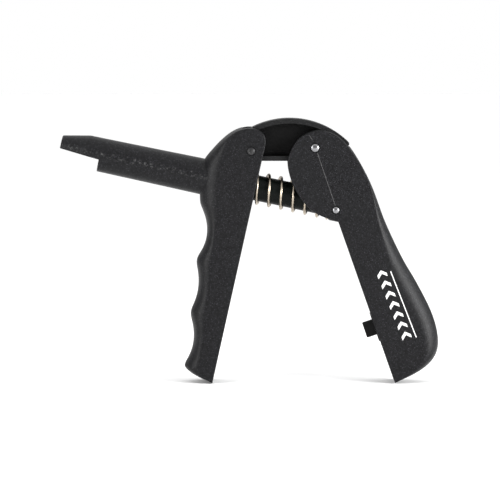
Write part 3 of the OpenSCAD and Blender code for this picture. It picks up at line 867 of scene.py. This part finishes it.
def painted_highlight_band(made, line_up, line_height, half, light):
    """Painted highlight: light specks in a band along the barrel, from how far a point lies from the line,
    times a noise.
    """
    tree = made.node_tree
    shader = tree.nodes["Principled BSDF"]
    old = shader.inputs["Base Color"].links[0].from_socket
    place = tree.nodes.new("ShaderNodeTexCoord")
    height = node(tree, "ShaderNodeVectorMath", operation="DOT_PRODUCT")
    height.inputs[1].default_value = line_up
    off = node(tree, "ShaderNodeMath", operation="SUBTRACT")
    off.inputs[1].default_value = line_height
    away = node(tree, "ShaderNodeMath", operation="ABSOLUTE")
    band = node(tree, "ShaderNodeMapRange", From_Min=0, From_Max=half, To_Min=1, To_Max=0)
    highlight_speck_noise = node(tree, "ShaderNodeTexNoise", Scale=900, Detail=3, Roughness=0.8)
    broken = node(tree, "ShaderNodeMapRange", From_Min=0.54, From_Max=0.68, To_Min=0, To_Max=1)
    both = node(tree, "ShaderNodeMath", operation="MULTIPLY")
    tone = node(tree, "ShaderNodeMix", data_type="RGBA")
    tone.inputs[7].default_value = (light, light, light, 1)
    link = tree.links.new
    link(place.outputs["Object"], height.inputs[0])
    link(place.outputs["Object"], highlight_speck_noise.inputs["Vector"])
    link(height.outputs["Value"], off.inputs[0])
    link(off.outputs["Value"], away.inputs[0])
    link(away.outputs["Value"], band.inputs["Value"])
    link(highlight_speck_noise.outputs["Fac"], broken.inputs["Value"])
    link(band.outputs["Result"], both.inputs[0])
    link(broken.outputs["Result"], both.inputs[1])
    link(both.outputs["Value"], tone.inputs[0])
    link(old, tone.inputs[6])
    link(tone.outputs[2], shader.inputs["Base Color"])


# The barrel's material is the grip plastic with a painted highlight along its side.
barrel_plastic = grip_plastic.copy()
barrel_plastic.name = "barrel painted highlight"
barrel_line = on_barrel([0, 0, 0.6])
# Painted highlight: a speckled light band 1.6 mm either side of a line 0.6 mm above the barrel's axis.
painted_highlight_band(barrel_plastic, tuple(upward), float(barrel_line @ upward), 1.6 * MM, 0.09)


# %% [markdown]
# ## Steel
# Turned pins and drawn wire differ in tone and in how their fine marks run. One function makes both, with
# a noise that can be stretched along an axis.

# %% Metal
def metal(name, colour, rough, streak):
    """Drawn or turned steel: brightness and roughness vary with a stretched noise."""
    made = bpy.data.materials.new(name)
    made.use_nodes = True
    tree = made.node_tree
    shader = tree.nodes["Principled BSDF"]
    shader.inputs["Metallic"].default_value = 1
    place = tree.nodes.new("ShaderNodeTexCoord")
    stretch = node(tree, "ShaderNodeMapping", Scale=streak)
    noise = node(tree, "ShaderNodeTexNoise", Scale=4000, Detail=3)
    tone = node(tree, "ShaderNodeMix", data_type="RGBA")
    tone.inputs[6].default_value = (*(np.array(colour) * 0.85), 1)
    tone.inputs[7].default_value = (*colour, 1)
    gloss = node(tree, "ShaderNodeMapRange", To_Min=rough - 0.05, To_Max=rough + 0.05)
    relief = node(tree, "ShaderNodeBump", Strength=0.1, Distance=0.00003)
    link = tree.links.new
    link(place.outputs["Object"], stretch.inputs["Vector"])
    link(stretch.outputs["Vector"], noise.inputs["Vector"])
    link(noise.outputs["Fac"], tone.inputs[0])
    link(tone.outputs[2], shader.inputs["Base Color"])
    link(noise.outputs["Fac"], gloss.inputs["Value"])
    link(gloss.outputs["Result"], shader.inputs["Roughness"])
    link(noise.outputs["Fac"], relief.inputs["Height"])
    link(relief.outputs["Normal"], shader.inputs["Normal"])
    return made


spring_steel = metal("spring wire", (0.46, 0.4, 0.32), 0.3, (1, 1, 1))
pin_steel = metal("turned steel", (0.27, 0.27, 0.28), 0.3, (1, 0.1, 1))

# %% [markdown]
# ## Finishing and fitting
# A broken edge catches the light along every rim, so the two grips, the barrel and the link get a small
# bevel. Each piece then rides on the body it belongs to, and those that stand for a CAD node replace it.


# %% Pieces on their bodies
def finish_piece(piece, place, body, material, stands_for=(), edge=0.0):
    """Moves a piece from its own millimetres into the model, and gives it its finish and its body."""
    points = np.empty(len(piece.data.vertices) * 3)
    piece.data.vertices.foreach_get("co", points)
    piece.data.vertices.foreach_set("co", place(points.reshape(-1, 3)).ravel())
    piece.data.update()
    piece.data.materials.clear()
    piece.data.materials.append(material)
    mesh = piece.data
    mesh.polygons.foreach_set("use_smooth", np.ones(len(mesh.polygons), bool))
    mesh.set_sharp_from_angle(angle=math.radians(32))
    if edge:
        bevel = piece.modifiers.new("edge", "BEVEL")
        bevel.width = edge * MM
        bevel.segments = 2
        bevel.limit_method = "ANGLE"
        bevel.angle_limit = math.radians(40)
        bevel.use_clamp_overlap = True
    flat_sides = piece.modifiers.new("flat sides", "WEIGHTED_NORMAL")
    flat_sides.keep_sharp = True
    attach(piece, body)
    if stands_for:
        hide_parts(*stands_for)


finish_piece(front_grip, on_barrel, "root", grip_plastic, ["front_handle"], 0.25)
finish_piece(front_ribs, on_barrel, "root", grip_plastic)
finish_piece(barrel, on_barrel, "root", barrel_plastic, edge=0.25)
finish_piece(front_pin, placed(front_pivot, 0), "root", pin_plastic, ["front_pivot_pin"])
finish_piece(spring, on_barrel, "root", spring_steel, ["return_spring"])
finish_piece(rear_grip, on_rear, "grip", grip_plastic, ["rear_handle"], 0.25)
finish_piece(rear_ribs, on_rear, "grip", grip_plastic)
finish_piece(mould_lines, on_rear, "grip", mould_line_highlight)
finish_piece(marks, on_rear, "grip", ink_white)
finish_piece(bridge_pin, placed(bridge_pivot, 0), "grip", pin_steel, ["bridge_pivot_pin"])
finish_piece(plunger_pin, placed(plunger_pivot, 0), "grip", pin_steel, ["plunger_pivot_pin"])
finish_piece(bumper, on_rear, "grip", rubber, ["bumper"])
finish_piece(bridge, on_link, "link", link_plastic, ["bridge_link"], 0.3)
finish_piece(rod, on_barrel, "plunger", rod_plastic, ["plunger_rod"])
finish_piece(piston, on_barrel, "plunger", pin_steel, ["piston"])
tuple(on_barrel([seat_x, 0, 0]))
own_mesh(spring)

# %% [markdown]
# ## Floor, light and camera
# The floor is plain and pale. Light comes from above: the room is bright overhead and dim at its sides,
# so that black cheeks keep their depth. One soft box on the left and two on the right light the rounded
# edges. The camera sees the room as plain white.

# %% Floor
size = np.array(cad_box[1]) - np.array(cad_box[0])
floor_mesh = bpy.data.meshes.new("floor")
reach = 30 * size[0]
corners = [(-reach, -reach, 0), (reach, -reach, 0), (reach, reach, 0), (-reach, reach, 0)]
floor_mesh.from_pydata(corners, [], [(0, 1, 2, 3)])
floor = add_object("floor", floor_mesh)
floor_paint = bpy.data.materials.new("pale floor")
floor_paint.use_nodes = True
paint = floor_paint.node_tree.nodes["Principled BSDF"]
paint.inputs["Base Color"].default_value = (0.92, 0.92, 0.92, 1)
paint.inputs["Roughness"].default_value = 0.9
paint.inputs["Specular IOR Level"].default_value = 0.1
floor_mesh.materials.append(floor_paint)

# %% Light
world = bpy.data.worlds.new("room")
bpy.context.scene.world = world
world.use_nodes = True
room = world.node_tree
sky = room.nodes["Background"]
sky.inputs["Color"].default_value = (1, 1, 1, 1)
direction = room.nodes.new("ShaderNodeTexCoord")
facing = node(room, "ShaderNodeVectorMath", operation="DOT_PRODUCT")
facing.inputs[1].default_value = (0, 0.15, 0.99)
ramp = node(room, "ShaderNodeMapRange", From_Min=0.0, From_Max=0.8, To_Min=0.1, To_Max=1.35)
ramp.interpolation_type = "SMOOTHSTEP"
seen = room.nodes.new("ShaderNodeLightPath")
plain = node(room, "ShaderNodeMix", data_type="FLOAT")
plain.inputs[3].default_value = 1.0
room.links.new(direction.outputs["Generated"], facing.inputs[0])
room.links.new(facing.outputs["Value"], ramp.inputs["Value"])
room.links.new(ramp.outputs["Result"], plain.inputs[2])
room.links.new(seen.outputs["Is Camera Ray"], plain.inputs[0])
room.links.new(plain.outputs[0], sky.inputs["Strength"])


def softbox(name, place, target, width, power):
    lamp = bpy.data.lights.new(name, "AREA")
    lamp.size = width
    lamp.energy = power
    lit = bpy.data.objects.new(name, lamp)
    bpy.context.scene.collection.objects.link(lit)
    lit.location = place
    lit.rotation_euler = (Vector(target) - Vector(place)).to_track_quat("-Z", "Y").to_euler()


middle = (np.array(cad_box[0]) + np.array(cad_box[1])) / 2
softbox("left box", middle + [-0.78, -0.6, 0.2], middle, 0.4, 6.5)
softbox("right box", middle + [0.85, -0.6, 0.2], middle, 0.45, 16)
softbox("right edge", middle + [0.95, -0.15, 0.3], middle, 0.45, 4)

# %% Camera
FIELD = 0.210
DISTANCE = 1.4
RAISED = math.radians(4.15)
centre = Vector((0.0002, 0, 0.0555))
camera_data = bpy.data.cameras.new("camera")
camera_data.sensor_width = 36
camera_data.lens = 36 * DISTANCE / FIELD
camera = bpy.data.objects.new("camera", camera_data)
bpy.context.scene.collection.objects.link(camera)
camera.location = centre + DISTANCE * Vector((0, -math.cos(RAISED), math.sin(RAISED)))
camera.rotation_euler = (centre - camera.location).to_track_quat("-Z", "Y").to_euler()
bpy.context.scene.camera = camera
bpy.context.scene.view_settings.view_transform = "Standard"
